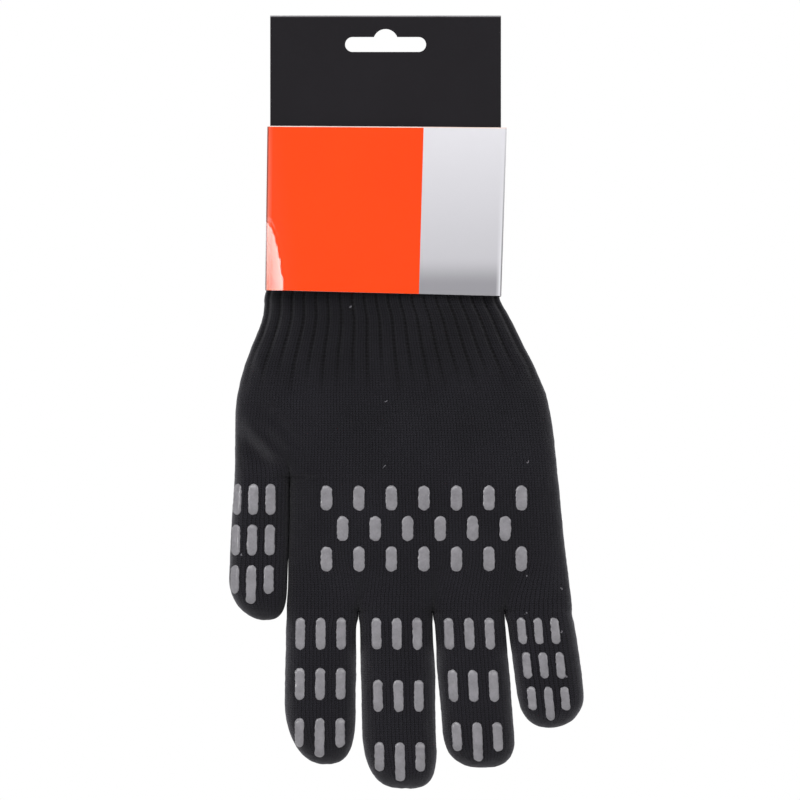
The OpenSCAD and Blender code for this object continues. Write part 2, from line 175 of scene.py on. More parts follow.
world = bpy.data.worlds.new("white_studio")
scene.world = world
world.use_nodes = True
tree = world.node_tree
tree.nodes.clear()
shown = node(tree, "ShaderNodeBackground", strength=1.0, color=WHITE)
light = node(tree, "ShaderNodeBackground", strength=WORLD_LIGHT, color=WHITE)
node(tree, "ShaderNodeOutputWorld", mixed_shaders(seen_directly(tree), light, shown))
print("world:", world.name, "with strength", WORLD_LIGHT)

# %% Floor
FLOOR_Z = -0.385
FLOOR_GREY = (0.86, 0.86, 0.86, 1)
FLOOR_GLOW = 0.3  # lifts the floor's grey to white for the camera
FLOOR_FADE = (0.35, 0.8)  # distances from the middle between which the floor fades to plain white
bpy.ops.object.select_all(action="DESELECT")
bpy.ops.mesh.primitive_plane_add(size=8, location=(0, 0, FLOOR_Z))
floor = bpy.context.object
floor.name = "floor"
pale = bpy.data.materials.new("pale_floor")
pale.use_nodes = True
tree = pale.node_tree
tree.nodes.clear()
seen = seen_directly(tree)
matt = node(tree, "ShaderNodeBsdfDiffuse", color=FLOOR_GREY)
glow = node(tree, "ShaderNodeEmission", color=WHITE, strength=product(seen, FLOOR_GLOW))
white = node(tree, "ShaderNodeEmission", color=WHITE, strength=1.0)
added = node(tree, "ShaderNodeAddShader", matt.outputs[0], glow.outputs[0])
reach = node(tree, "ShaderNodeVectorMath", object_place(tree), operation="LENGTH")
far = product(graded(reach.outputs["Value"], *FLOOR_FADE), seen)
node(tree, "ShaderNodeOutputMaterial", surface=mixed_shaders(far, added, white))
floor.data.materials.append(pale)
print("floor at", round(floor.location.z, 3), "m")


# %% Lamps
def soft_lamp(name, place, aim, size, watts):
    """Square lamp that looks at a point"""
    data = bpy.data.lights.new(name, "AREA")
    data.shape = "SQUARE"
    data.size = size
    data.energy = watts
    lamp = bpy.data.objects.new(name, data)
    scene.collection.objects.link(lamp)
    lamp.location = place
    lamp.rotation_euler = (Vector(aim) - Vector(place)).to_track_quat("-Z", "Y").to_euler()
    return lamp


glove_middle, band_middle = (0, 0, -0.15), (0, 0, -0.08)
soft_lamp("key_lamp", (-0.7, -1.5, 1.0), glove_middle, 1.1, 15.8)
soft_lamp("fill_lamp", (1.2, -1.3, 0.4), glove_middle, 1.0, 8.8)
soft_lamp("side_lamp", (-1.25, -1.0, -0.06), band_middle, 0.22, 4.2)
soft_lamp("back_lamp", (0.3, 1.6, 0.9), glove_middle, 1.2, 12)
print("four soft lamps")

# %% [markdown]
# ## Shared finishes
# Knit, lint and small unevenness occur on several pieces, so each is a node group that is built once and
# placed in every material that needs it. A group gives only heights and masks. The knit repeats once per
# stitch of the UV map, which counts stitches round a tube (U) and rows along it (V), so the pattern
# follows the yarn round every finger instead of sliding across it.


# %% Node groups
def new_group(name, numbers, outputs):
    """Group with one vector input, some number inputs and some number outputs"""
    group = bpy.data.node_groups.new(name, "ShaderNodeTree")
    group.interface.new_socket("Vector", in_out="INPUT", socket_type="NodeSocketVector")
    for title, value in numbers.items():
        socket = group.interface.new_socket(title, in_out="INPUT", socket_type="NodeSocketFloat")
        socket.default_value = value
    for title in outputs:
        group.interface.new_socket(title, in_out="OUTPUT", socket_type="NodeSocketFloat")
    return group, group.nodes.new("NodeGroupInput").outputs, group.nodes.new("NodeGroupOutput")


print("groups can be made")

# %% Knit stitches
LEG_SLANT = 0.55  # how far a leg of a V climbs, in rows
LEG_LOW = 0.4  # height of the yarn where two stitches meet, its highest point is 1
tree, entry, leave = new_group("knit_stitches", {"Slack": 0.4}, ["Height", "Hole"])
knit_group = tree
across, along, _ = axes_of(entry["Vector"])
wander = node(tree, "ShaderNodeTexNoise", noise_dimensions="2D", vector=entry["Vector"],
              scale=0.35, detail=2.0)
drift = product(calc("SUBTRACT", wander.outputs[0], 0.5), entry["Slack"])
wale = calc("FRACT", calc("ADD", across, drift))
side = product(calc("ABSOLUTE", calc("SUBTRACT", wale, 0.5)), 2.0)
leg = calc("SINE", product(side, math.pi))
slanted = calc("ADD", along, product(side, LEG_SLANT))
course = calc("SINE", product(calc("FRACT", slanted), math.pi))
round_leg = calc("POWER", calc("MAXIMUM", leg, 0.0), 0.6)
height = product(round_leg, calc("ADD", product(course, 1 - LEG_LOW), LEG_LOW))
hole = product(calc("POWER", side, 1.6), scaled(course, -0.65, 1.0))
tree.links.new(height, leave.inputs["Height"])
tree.links.new(hole, leave.inputs["Hole"])
print("group", knit_group.name)

# %% Lint specks
tree, entry, leave = new_group("lint_specks", {"Scale": 70.0, "Size": 0.03, "Share": 0.2}, ["Mask"])
lint_group = tree
axes = axes_of(entry["Vector"])
flat = node(tree, "ShaderNodeCombineXYZ", x=axes[0], y=axes[2]).outputs[0]
bent = node(tree, "ShaderNodeTexNoise", noise_dimensions="2D", vector=flat, scale=900.0, detail=1.0)
shifted = node(tree, "ShaderNodeVectorMath", operation="SCALE", vector=bent.outputs[1], scale=0.0018)
moved = node(tree, "ShaderNodeVectorMath", flat, shifted.outputs[0], operation="ADD").outputs[0]
cells = node(tree, "ShaderNodeTexVoronoi", voronoi_dimensions="2D", vector=moved, scale=entry["Scale"])
near = calc("LESS_THAN", cells.outputs["Distance"], entry["Size"])
chance = node(tree, "ShaderNodeSeparateColor", cells.outputs["Color"]).outputs[0]
chosen = calc("LESS_THAN", chance, entry["Share"])
tree.links.new(product(near, chosen), leave.inputs["Mask"])
print("group", lint_group.name)

# %% Uneven surface
tree, entry, leave = new_group("uneven_surface", {"Coarse": 60.0, "Fine": 900.0}, ["Cloud", "Grain"])
uneven_group = tree
for title, scale, detail in (("Cloud", "Coarse", 3.0), ("Grain", "Fine", 2.0)):
    spots = node(tree, "ShaderNodeTexNoise", vector=entry["Vector"], scale=entry[scale], detail=detail)
    tree.links.new(spots.outputs[0], leave.inputs[title])
print("group", uneven_group.name)


# %% Material helpers
def srgb(*levels):
    """Linear colour from 0 to 255 screen levels"""
    part = [v / 255 for v in levels]
    return tuple(v / 12.92 if v <= 0.04045 else ((v + 0.055) / 1.055) ** 2.4 for v in part) + (1.0,)


def dress(shader, **sockets):
    """Fill inputs of the main shader with values or links"""
    for title, value in sockets.items():
        fill(shader.inputs[title.replace("_", " ")], value)


def new_material(name, **sockets):
    material = bpy.data.materials.new(name)
    material.use_nodes = True
    tree = material.node_tree
    shader = tree.nodes["Principled BSDF"]
    dress(shader, **sockets)
    return material, tree, shader


def use_group(group, vector, **values):
    return node(vector.id_data, "ShaderNodeGroup", node_tree=group, vector=vector, **values).outputs


def attribute(tree, name):
    return node(tree, "ShaderNodeAttribute", attribute_name=name).outputs["Fac"]


def blend(share, first, second):
    """Mix two colours, each a socket or four numbers"""
    made = node(share.id_data, "ShaderNodeMix", data_type="RGBA")
    for number, value in ((0, share), (6, first), (7, second)):
        fill(made.inputs[number], value)
    return made.outputs[2]


def bump(height, distance, strength=1.0, under=None):
    settings = {"distance": distance, "strength": strength, "height": height, "normal": under}
    return node(height.id_data, "ShaderNodeBump", **settings).outputs[0]


print("material helpers ready")

# %% [markdown]
# ## Knit, lining and thread
# The outer knit is dyed black yarn: nearly black and matt. A bump from the stitch group gives the columns
# of small V shapes, the holes between them are darker, and a broad cloud keeps the black from being one
# flat tone. Between the ribs of the cuff run dark dotted lines of painted shade, which follow the columns
# of the UV map. A painted sheen makes the cloth paler where it turns away, except in the narrow places
# between the digits. A few light specks of lint cling to it. The lining is the same stitch in grey cotton,
# and the sewing thread is a plain version with finer rows.

# %% Yarn materials
STITCH = 0.6  # stitches to a column of the cloth
TOTAL = 180  # columns across the front
RIBS = 21  # ribs across the front


def painted_groove_shade(tree, uv):
    """Painted shade: dark dotted lines in the grooves between the ribs"""
    across, along, _ = axes_of(uv)
    turn = calc("COSINE", product(across, 2 * math.pi * RIBS / (TOTAL * STITCH)))
    line = calc("POWER", scaled(turn, 0.5, 0.5), 6.0)
    dots = scaled(calc("SINE", product(along, 3.6)), 0.3, 0.55)
    return product(scaled(line, dots, 0.1), attribute(tree, "ribbed"))


def yarn_material(name, dark, light, sheen_tone, sheen, lint_share=0.0, rows=1.0):
    """Matt yarn between a dark and a light tone, with a painted sheen towards a paler tone where it turns
    away
    """
    material, tree, shader = new_material(
        name, Roughness=0.92, Sheen_Weight=sheen, Sheen_Roughness=0.45, Specular_IOR_Level=0.12)
    uv = node(tree, "ShaderNodeUVMap", uv_map="stitches").outputs[0]
    stretched = node(tree, "ShaderNodeVectorMath", uv, (1, rows, 1), operation="MULTIPLY").outputs[0]
    stitch = use_group(knit_group, stretched)
    place = object_place(tree)
    uneven = use_group(uneven_group, place, Coarse=45.0, Fine=1500.0)
    lint = use_group(lint_group, place, Share=lint_share)
    tone = scaled(uneven["Cloud"], 0.5, 0.21)
    tone = scaled(stitch["Height"], 0.5, tone)
    tone = calc("SUBTRACT", tone, product(stitch["Hole"], 0.9))
    tone = calc("SUBTRACT", tone, painted_groove_shade(tree, uv))
    # painted sheen: the colour goes towards a paler tone where the cloth turns away from the view, scaled
    # by the "free" mark, which is low between the digits
    away = node(tree, "ShaderNodeLayerWeight", blend=0.5).outputs["Facing"]
    painted_sheen = product(calc("POWER", away, 1.8), attribute(tree, "free"))
    painted_sheen = product(painted_sheen, scaled(uneven["Grain"], 0.5, 0.75))
    colour = blend(tone, dark, light)
    colour = blend(painted_sheen, colour, sheen_tone)
    colour = blend(lint["Mask"], colour, srgb(120, 118, 124))
    fine = bump(uneven["Grain"], 0.00006)
    dress(shader, Base_Color=colour, Normal=bump(stitch["Height"], 0.0005, 0.9, fine))
    return material


knit_black = yarn_material(
    "knit_black_yarn", srgb(9, 8, 11), srgb(42, 41, 47), srgb(138, 137, 143), sheen=0.06, lint_share=0.14)
lining_grey = yarn_material(
    "lining_grey_cotton", srgb(62, 62, 66), srgb(118, 117, 122), srgb(150, 149, 154), sheen=0.1)
thread_black = yarn_material(
    "thread_black", srgb(12, 11, 14), srgb(48, 47, 53), srgb(110, 109, 114), sheen=0.1, rows=2.0)
print("yarns:", knit_black.name, lining_grey.name, thread_black.name)

# %% [markdown]
# ## Silicone, card and band
# The grip bars are printed silicone: grey, satin, a little cloudy. The card is black printed board whose
# top fold has lost some ink, so a thin light line runs along it. The band is coated board: printed orange
# on the left and silver on the right, with a hard gloss and white board where it was cut. A painted
# reflection makes the silver lighter at the top and darker below, a painted highlight runs pale along the
# creases, and painted shade darkens them round the side. Two attributes of the band's mesh, "crease" and
# "cut", tell the material where that is.

# %% Silicone
silicone, tree, shader = new_material(
    "silicone_grey", Coat_Weight=0.8, Coat_Roughness=0.16, Specular_IOR_Level=0.3)
place = object_place(tree)
uneven = use_group(uneven_group, place, Coarse=260.0, Fine=1400.0)
dust = use_group(lint_group, place, Scale=160.0, Size=0.05, Share=0.06)
mottle = scaled(uneven["Cloud"], 1.3, -0.5)
mottle = scaled(uneven["Grain"], 0.7, mottle)
colour = blend(mottle, srgb(107, 105, 110), srgb(140, 138, 143))
colour = blend(dust["Mask"], colour, srgb(176, 174, 178))
satin = scaled(uneven["Grain"], 0.25, 0.32)
dress(shader, Base_Color=colour, Roughness=satin, Normal=bump(uneven["Grain"], 0.00008, 0.6))
print("material", silicone.name)

# %% Card
WORN_FROM, WORN_FULL = 0.75, 0.25  # the ink thins out between these depths below the top fold
_, card_high = measured("header_card")
card_black, tree, shader = new_material("card_black_board", Specular_IOR_Level=0.1)
place = object_place(tree)
uneven = use_group(uneven_group, place, Coarse=30.0, Fine=2400.0)
top_fold = graded(axes_of(place)[2], (card_high[2] - WORN_FROM) * MM, (card_high[2] - WORN_FULL) * MM)
worn = product(top_fold, scaled(uneven["Cloud"], 0.7, 0.35))
colour = blend(uneven["Cloud"], srgb(23, 21, 24), srgb(30, 28, 32))
colour = blend(worn, colour, srgb(176, 174, 178))
matt = scaled(uneven["Grain"], 0.2, 0.48)
dress(shader, Base_Color=colour, Roughness=matt, Normal=bump(uneven["Grain"], 0.00004, 0.5))
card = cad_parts["header_card"]
card.data.materials.clear()
card.data.materials.append(card_black)
print("material", card_black.name, "on the card")

# %% Printed colours of the band, with a painted reflection on the silver
band_low, band_high = measured("belly_band")
SPLIT_X = 14.3  # border of the two colours at half height
SPLIT_LEAN = 0.028  # how far the border leans, sideways for each step up
SHADE_LOW, SHADE_HIGH = band_low[2] + 3, band_low[2] + 15  # the silver darkens between these levels
board_gloss, tree, shader = new_material("board_gloss_print", Coat_Roughness=0.06, Specular_IOR_Level=0.0)
place = object_place(tree)
across, _, up = axes_of(place)
uneven = use_group(uneven_group, place, Coarse=22.0, Fine=1800.0)
# painted reflection: the silver is lightest at the top and goes darker towards the bottom
shade = graded(up, SHADE_LOW * MM, SHADE_HIGH * MM)
slow = graded(up, SHADE_HIGH * MM, band_high[2] * MM, kind="LINEAR")
silver = blend(slow, srgb(196, 195, 200), srgb(223, 222, 227))
silver = blend(shade, srgb(151, 150, 155), silver)
orange = blend(uneven["Cloud"], srgb(245, 64, 0), srgb(251, 72, 2))
border = SPLIT_X - SPLIT_LEAN * (band_low[2] + band_high[2]) / 2
right = calc("GREATER_THAN", scaled(up, -SPLIT_LEAN, across), border * MM)
printed = blend(right, orange, silver)
print("band: silver from x =", SPLIT_X, "mm on")

# %% Painted highlight and shade on the creases, and the cut edge of the band
crease = attribute(tree, "crease")
lower = scaled(slow, -0.7, 0.95)
# painted highlight: the print goes paler where the board starts to bend round a crease, more strongly lower
# down
crease_highlight = calc("SMOOTH_MIN", product(crease, 3.0), 1.0, 0.2)
crease_highlight_tone = blend(right, srgb(226, 128, 108), srgb(224, 223, 228))
printed = blend(product(crease_highlight, lower), printed, crease_highlight_tone)
# painted shade: further round each crease, towards the side, the print goes darker; on the orange over the
# whole height, on the silver more strongly lower down
side_shade_tone = blend(right, srgb(92, 60, 54), srgb(120, 119, 123))
left_too = calc("MAXIMUM", lower, scaled(right, -0.8, 0.8))
side_shade = product(graded(crease, 0.45, 0.85), left_too)
printed = blend(side_shade, printed, side_shade_tone)
cut = calc("GREATER_THAN", attribute(tree, "cut"), 0.55)
printed = blend(cut, printed, srgb(240, 218, 210))
print("silver print darkens from z =", round(SHADE_HIGH, 1), "to", round(SHADE_LOW, 1), "mm")

# %% Coat of the band
COAT_EDGE, COAT_FULL, COAT_WIDE = 0.13, 0.56, 0.4  # coat at the left edge, at its fullest and elsewhere
COAT_RISE = 6.4  # distance from the left edge at which the coat is fullest
COAT_FALL = (8, 14)  # distances between which it drops to the coat of the rest
COAT_LEAN = 0.12  # how far these distances lean, sideways for each step up
up_from_low = calc("SUBTRACT", up, band_low[2] * MM)
from_left = scaled(up_from_low, COAT_LEAN, calc("SUBTRACT", across, band_low[0] * MM))
coat = graded(from_left, 0.0, COAT_RISE * MM, COAT_EDGE, COAT_FULL, "LINEAR")
drop = graded(from_left, COAT_FALL[0] * MM, COAT_FALL[1] * MM, 0.0, COAT_FULL - COAT_WIDE, "LINEAR")
coat = calc("SUBTRACT", coat, drop)
gloss = scaled(uneven["Grain"], 0.12, 0.24)
dress(shader, Base_Color=printed, Coat_Weight=coat, Roughness=gloss,
      Normal=bump(uneven["Cloud"], 0.0004, 0.25))
board_raw, tree, shader = new_material("board_raw_white", Roughness=0.8)
uneven = use_group(uneven_group, object_place(tree), Coarse=60.0, Fine=2200.0)
fibre = blend(uneven["Grain"], srgb(206, 203, 197), srgb(240, 238, 234))
dress(shader, Base_Color=fibre, Normal=bump(uneven["Grain"], 0.00006, 0.5))
print("materials", board_gloss.name, board_raw.name)

# %% [markdown]
# ## The knitted glove
# A glove like this comes off the machine in one piece: fingers, hand and cuff are tubes that run into each
# other without a seam. One could sculpt it or remesh the CAD solids, but both lose the direction of the
# yarn. Here every tube is a grid of rows and columns, where each column is a line of yarn. The columns of
# neighbouring fingers meet at one point between them, the crotch, and above it they run on into the hand.

# %% Sizes from the CAD model
knuckle_low, _ = measured("knuckle_shell")
heel_low, heel_high = measured("palm_heel_shell")
rib_low, rib_high = measured("cuff_rib")
MID_Y = (heel_low[1] + heel_high[1]) / 2
Z_ROOT, Z_THUMB, Z_RIB, Z_TOP = knuckle_low[2], heel_low[2], rib_low[2], rib_high[2]
Z_BAND = band_low[2]
CUFF_T, PALM_T, ROOT_T = 16.0, 20.0, 14.8  # thickness at the cuff, the palm and the finger roots
CUFF_N, PALM_N = 3.0, 3.4  # squareness of the sections of the cuff and the palm, an ellipse has 2
DIGITS = ["thumb", "index", "middle", "ring", "little"]
COLUMNS = {"thumb": 30, "index": 40, "middle": 40, "ring": 40, "little": 30}
stalls = {name: measured(name + "_stall") for name in DIGITS}
print("hand from", round(Z_TOP, 1), "to", round(Z_ROOT, 1), "mm; middle plane at y =", round(MID_Y, 2))


# %% Oval sections
def half_oval(columns, a, b, n):
    """Sideways places and heights at equal steps along the front half of a rounded oval"""
    t = np.linspace(np.pi, 0, 1441)
    x = a * np.sign(np.cos(t)) * np.abs(np.cos(t)) ** (2 / n)
    h = b * np.abs(np.sin(t)) ** (2 / n)
    h[0] = h[-1] = 0
    run = np.concatenate([[0], np.cumsum(np.hypot(np.diff(x), np.diff(h)))])
    at = np.linspace(0, run[-1], columns + 1)
    return np.interp(at, run, x), np.interp(at, run, h)


def oval_height(x, a, b, n):
    return b * (1 - np.clip(np.abs(x / a), 0, 1) ** n) ** (1 / n)


def smoothstep(t):
    t = np.clip(t, 0, 1)
    return t * t * (3 - 2 * t)


def web(s, reach):
    """Rounded opening of a valley above a crotch: 0 at the crotch, 1 from reach on"""
    return np.sqrt(1 - (1 - np.clip(s / reach, 0, 1)) ** 2)


def soft_line(table):
    """Rounded curve through a short list of (z, x) pairs"""
    z, x = np.array(sorted(table)).T
    fine = np.arange(z[0], z[-1] + 0.25, 0.25)
    value = np.interp(fine, z, x)
    kernel = np.hanning(33) / np.hanning(33).sum()
    value = np.convolve(np.pad(value, 16, mode="edge"), kernel, mode="valid")
    return lambda level: np.interp(level, fine, value)


print("half oval of 4 columns:", np.round(half_oval(4, 10, 5, 2.5)[0], 2))

# %% [markdown]
# ## Outline of the hand
# A few pairs of height and sideways place give the two sides of the hand: straight inside the band, a
# short curve out of it, then the slow slant to the little finger. Each digit has a root, a lean, a round
# tip and a small drift of the tip towards the middle of the hand. Narrow slits part the fingers.

# %% Sides and digits
hand_left = soft_line([
    (-30, -46.6), (-80, -46.8), (-96, -47.2), (-100, -48.9), (-105, -49.2), (-108.6, -49.6), (-115, -51.7),
    (-121.4, -54.3), (-127.8, -56.8), (-134.2, -58.5), (-140.6, -59.9), (-150, -60.4), (-165, -60.7),
    (-180, -61.0)])
hand_right = soft_line([
    (-30, 46.6), (-70, 46.2), (-97, 45.4), (-102, 45.8), (-105.4, 47.6), (-108.6, 49.6), (-115, 52.6),
    (-121.4, 55.8), (-127.8, 59.4), (-134.2, 62.3), (-140.6, 64.6), (-150, 66.6), (-160, 68.0),
    (-172.6, 69.2), (-182, 70.1), (-198, 71.6), (-208, 72.8), (-217, 74.0), (-235, 75.6)])
SHAPE = {  # lean in degrees, tip length, roundness of the tip, drift of the tip, sideways shift
    "thumb": (-2.0, 17.0, 2.3, 3.6, 0.0), "index": (-0.65, 26.0, 2.46, 2.8, -0.35),
    "middle": (1.56, 26.0, 3.0, 1.9, 0.1), "ring": (4.4, 15.0, 2.5, 0.8, 0.1),
    "little": (8.2, 15.7, 2.3, -2.5, 0.15)}
CROTCH_X = {"thumb": -38.45, "index": -10.95, "middle": 18.95, "ring": 47.85}
ROOT = {  # left and right end of the root, which two fingers share at a crotch
    "thumb": (-60.9, CROTCH_X["thumb"]), "index": (-39.8, CROTCH_X["index"]),
    "middle": (CROTCH_X["index"], CROTCH_X["middle"]), "ring": (CROTCH_X["middle"], CROTCH_X["ring"]),
    "little": (CROTCH_X["ring"], 74.7)}
WIDTH = {"thumb": 23.2, "index": 28.6, "middle": 30.0, "ring": 29.1, "little": 27.2}
SLENDER = ("thumb", "little")  # a little thinner, and they take their own width more slowly
SLIT = 0.35  # what each finger gives up for the slit beside it
TIP_T = 13  # length over which a tip gets thinner
HALF_DIGIT, HALF_SLENDER = 7.3, 7.0  # half the thickness of a digit
DIGIT_N = 2.5  # squareness of its section
digit_top = {name: Z_THUMB if name == "thumb" else Z_ROOT for name in DIGITS}
digit_len = {name: digit_top[name] - stalls[name][0][2] for name in DIGITS}
print("lengths:", {name: round(value, 1) for name, value in digit_len.items()})


# %% Rows of a digit
def digit_row(name, s):
    """Sideways places, heights and level of the columns of a digit at distance s from its root"""
    lean, tip, power, drift, shift = SHAPE[name]
    length = digit_len[name]
    t = max((s - (length - tip)) / tip, 0)
    close = max(1 - t ** power, 0) ** (1 / power)
    left, right = ROOT[name]
    full = WIDTH[name] / 2
    start = (right - left) / 2
    ease = smoothstep((s - 2.4) / (16 if name in SLENDER else 5))
    half = (start + (full - start) * ease) * close
    aside = s * math.tan(math.radians(lean)) * smoothstep(s / 5)
    middle = (left + right) / 2 + aside + drift * t * t + shift * ease
    gap = SLIT * float(smoothstep((s - 2.5) / 3) * smoothstep((26 - s) / 16))
    gap_left = gap if name in ("middle", "ring", "little") else 0
    gap_right = gap if name in ("index", "middle", "ring") else 0
    half -= (gap_left + gap_right) / 2
    middle += (gap_left - gap_right) / 2
    t_thick = max((s - (length - TIP_T)) / TIP_T, 0)
    thick = (HALF_SLENDER if name in SLENDER else HALF_DIGIT) * max(1 - t_thick ** 2.2, 0) ** (1 / 2.2)
    x, h = half_oval(COLUMNS[name], max(half, 0.01), max(thick, 0.01), DIGIT_N)
    return middle + x, h, digit_top[name] - s


def digit_steps(name):
    """Distances from the root, closer together where the tip rounds off"""
    tip = SHAPE[name][1]
    straight = digit_len[name] - tip
    body = np.linspace(0, straight, int(straight / 1.1) + 1)
    turn = straight + tip * np.sin(np.linspace(0, np.pi / 2, 26)[1:])
    return np.concatenate([body, turn])


def sheet_rows(rows):
    """Front and back grid of points from rows of sideways places, heights and levels"""
    front = np.array([[(px, MID_Y - ph, z) for px, ph in zip(x, h)] for x, h, z in rows])
    back = np.array([[(px, MID_Y + ph, z) for px, ph in zip(x, h)] for x, h, z in rows])
    return front, back


grids = {name: sheet_rows([digit_row(name, s) for s in digit_steps(name)]) for name in DIGITS}
print("digit rows:", {name: grids[name][0].shape[:2] for name in DIGITS})


# %% Rows above a crotch
def joined_roots(rows):
    """Columns of tubes that lie side by side, with one shared column at each crotch"""
    x = np.concatenate([rows[0][0]] + [row[0][1:] for row in rows[1:]])
    h = np.concatenate([rows[0][1]] + [row[1][1:] for row in rows[1:]])
    return x, h


def merged_row(root_x, root_h, left, right, half_t, n, opened, spaced):
    """Row of a tube above a crotch: part way between its roots and one wide oval"""
    a, middle = (right - left) / 2, (right + left) / 2
    share = (root_x - root_x[0]) / (root_x[-1] - root_x[0])
    fitted = root_x + (left - root_x[0]) * (1 - share) + (right - root_x[-1]) * share
    even, even_h = half_oval(len(root_x) - 1, a, half_t, n)
    x = fitted + (middle + even - fitted) * spaced
    h = root_h + (oval_height(x - middle, a, half_t, n) - root_h) * opened
    if spaced > 0.999:
        h = root_h + (even_h - root_h) * opened
    h[0] = h[-1] = 0
    return x, h


def thumb_side(s):
    """Side of the hand beside the thumb: they touch near the crotch and part slowly further down"""
    return float(digit_row("thumb", s)[0].max()) - 0.06 + 0.36 * float(smoothstep((s - 27) / 18))


print("side of the hand 40 mm below the thumb's crotch:", round(thumb_side(40), 1), "mm")

# %% Knuckles
WEB_FINGER, WEB_THUMB = 7, 9  # heights over which the valleys above the crotches open
SPREAD_FINGER, SPREAD_THUMB = 26, 20  # heights over which the columns go over to even steps
knuckle_left = soft_line([(Z_THUMB - s, thumb_side(s)) for s in range(0, 45, 4)] + [
    (-150, CROTCH_X["thumb"]), (-224, -39.8), (Z_ROOT, -39.9), (-240, -40.0)])
fingers = joined_roots([digit_row(name, 0) for name in DIGITS[1:]])
knuckle_levels = np.concatenate([np.linspace(Z_ROOT, Z_ROOT + WEB_FINGER, 12),
                                 np.linspace(Z_ROOT + WEB_FINGER + 1.2, Z_THUMB, 34)])
knuckle_rows = []
for z in knuckle_levels:
    s = z - Z_ROOT
    k = min(s / 3, 1)
    left = ROOT["index"][0] * (1 - k) + float(knuckle_left(z)) * k
    right = ROOT["little"][1] * (1 - k) + float(hand_right(z)) * k
    if z == Z_THUMB:
        left = CROTCH_X["thumb"]
    half_t = (ROOT_T + (PALM_T - ROOT_T) * s / (Z_THUMB - Z_ROOT)) / 2
    x, h = merged_row(
        *fingers, left, right, half_t, PALM_N, web(s, WEB_FINGER), smoothstep(s / SPREAD_FINGER))
    knuckle_rows.append((x, h, z))
knuckle_x, knuckle_h, _ = knuckle_rows[-1]
grids["knuckles"] = sheet_rows(knuckle_rows)
print("knuckle rows:", len(knuckle_rows))

# %% Palm and cuff
roots = joined_roots([digit_row("thumb", 0), (knuckle_x, knuckle_h)])
hand_levels = np.concatenate([np.linspace(Z_THUMB, Z_THUMB + WEB_THUMB, 12),
                              np.linspace(Z_THUMB + WEB_THUMB + 1.4, Z_TOP, 88)])
hand_rows = []
for z in hand_levels:
    s = z - Z_THUMB
    k = min(s / 3, 1)
    left = ROOT["thumb"][0] * (1 - k) + float(hand_left(z)) * k
    right = float(hand_right(z))
    t = float(smoothstep((Z_BAND - z) / (Z_BAND - Z_THUMB)))
    half_t = (CUFF_T + (PALM_T - CUFF_T) * t) / 2
    n = CUFF_N + (PALM_N - CUFF_N) * t
    x, h = merged_row(*roots, left, right, half_t, n, web(s, WEB_THUMB), smoothstep(s / SPREAD_THUMB))
    hand_rows.append((x, h, z))
grids["hand"] = sheet_rows(hand_rows)
print("hand rows:", len(hand_rows))

# %% [markdown]
# ## One skin from all the grids
# The grids share their border rows, so points at the same place are merged into one list. From that list
# come smooth normals that don't stop at a border. Then the skin gets its relief: the grooves between the
# ribs of the cuff, which fade out above the palm, a few soft folds at the wrist and the thumb, and the
# slight unevenness of hanging cloth. Round the crotches the columns lie close together and relief would
# fold them over each other, so the skin is kept quiet there.

# %% Merge the grids
order = [(name, side) for name in ("hand", "knuckles", *DIGITS) for side in (0, 1)]
points = np.concatenate([grids[name][side].reshape(-1, 3) for name, side in order])
keys = np.round(points * 2000).astype(np.int64)
_, first_of, merged = np.unique(keys, axis=0, return_index=True, return_inverse=True)
merged = merged.reshape(-1)
skin = points[first_of]
ids, start = {}, 0
for name, side in order:
    shape = grids[name][side].shape[:2]
    ids[name, side] = merged[start:start + shape[0] * shape[1]].reshape(shape)
    start += shape[0] * shape[1]
print("merged", len(points), "points into", len(skin))


# %% Faces and normals of the skin
def grid_faces(grid, flip):
    """Corner numbers of the faces of a grid"""
    a, b, c, d = grid[:-1, :-1], grid[:-1, 1:], grid[1:, 1:], grid[1:, :-1]
    corners = np.stack([a, d, c, b] if flip else [a, b, c, d], axis=-1)
    return corners.reshape(-1, 4)


def facing_out(name, side):
    """Rows of the hand run up and those of the digits down, so their faces turn opposite ways"""
    return (name in DIGITS) != (side == 1)


all_faces = np.concatenate([grid_faces(ids[name, side], facing_out(name, side)) for name, side in order])


def skin_normals(place):
    a, b, c, d = (place[all_faces[:, i]] for i in range(4))
    face = np.cross(c - a, d - b)
    total = np.zeros_like(place)
    for i in range(4):
        np.add.at(total, all_faces[:, i], face)
    return total / np.maximum(np.linalg.norm(total, axis=1, keepdims=True), 1e-9)


normals = skin_normals(skin)
print("skin:", len(skin), "points,", len(all_faces), "faces")

# %% Ribs
GROOVE = 0.5  # depth of the grooves between the ribs
columns_of = np.zeros(len(skin))
for side in (0, 1):
    grid = ids["hand", side]
    columns_of[grid] = np.arange(grid.shape[1])[None, :] * (1 if side == 0 else -1)
x, y, z = skin.T
phase = columns_of / TOTAL * RIBS
rib_end = Z_RIB - 1.5 + 2.6 * np.sin(np.round(phase) * 2.7) + 1.4 * np.sin(np.round(phase) * 7.1)
groove = (0.5 + 0.5 * np.cos(2 * np.pi * phase)) ** 3
fade = smoothstep((z - rib_end + 6) / 22)
relief = -GROOVE * groove * fade
print("ribs end between z =", round(rib_end.min(), 1), "and", round(rib_end.max(), 1), "mm")


# %% Folds
def fold(px, pz, angle, length, width, depth):
    """Soft fold: a long low ridge, or a furrow where depth is negative"""
    c, s = math.cos(math.radians(angle)), math.sin(math.radians(angle))
    along = (x - px) * c + (z - pz) * s
    across = -(x - px) * s + (z - pz) * c
    return depth * np.exp(-(along / length) ** 2 - (across / width) ** 2)


